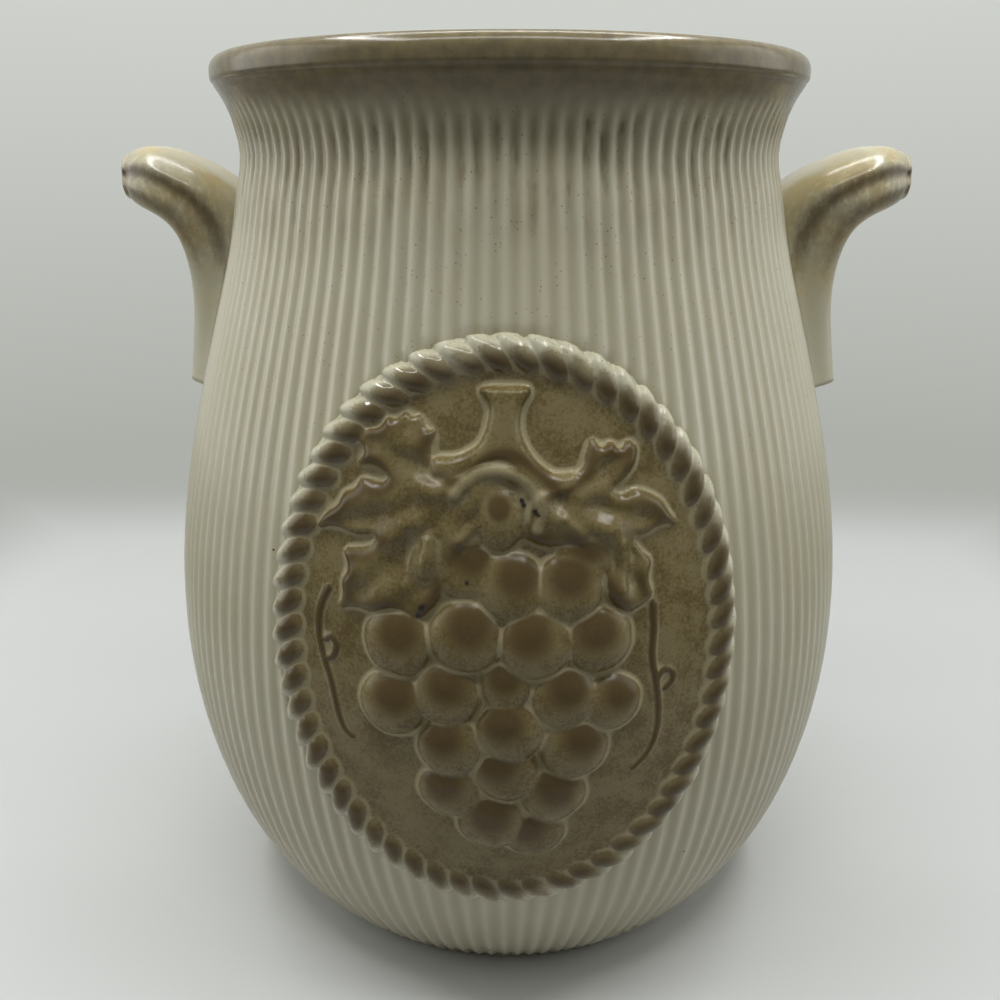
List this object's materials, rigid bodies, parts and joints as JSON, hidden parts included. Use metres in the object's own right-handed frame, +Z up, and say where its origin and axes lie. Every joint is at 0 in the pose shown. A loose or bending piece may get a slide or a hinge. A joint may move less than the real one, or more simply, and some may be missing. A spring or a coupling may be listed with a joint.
{
  "type": "stoneware fruit crock",
  "caption": "Open ribbed stoneware crock with two curled lug handles and a moulded oval of grapes and vine leaves in a rope border.",
  "frame": {"origin": "on the pot's axis, in the plane that its foot stands on", "axes": "+Z up along the pot's axis; -Y towards the front with the oval panel; the handles lie along +X and -X"},
  "size_m": [0.267, 0.2411, 0.29],
  "materials": {
    "cream_glaze": "glossy",
    "tan_glaze": "glossy",
    "relief_glaze": "glossy",
    "brown_glaze": "glossy"
  },
  "bodies": {
    "root": {"pot_body": "cream_glaze", "handle_left": "cream_glaze", "handle_right": "cream_glaze", "medallion_field": "tan_glaze", "rope_border": "relief_glaze", "grape_cluster": "relief_glaze", "leaf_left": "relief_glaze", "leaf_right": "relief_glaze", "vine_stem": "relief_glaze", "tendril_left": "brown_glaze", "tendril_right": "brown_glaze"}
  },
  "joints": []
}
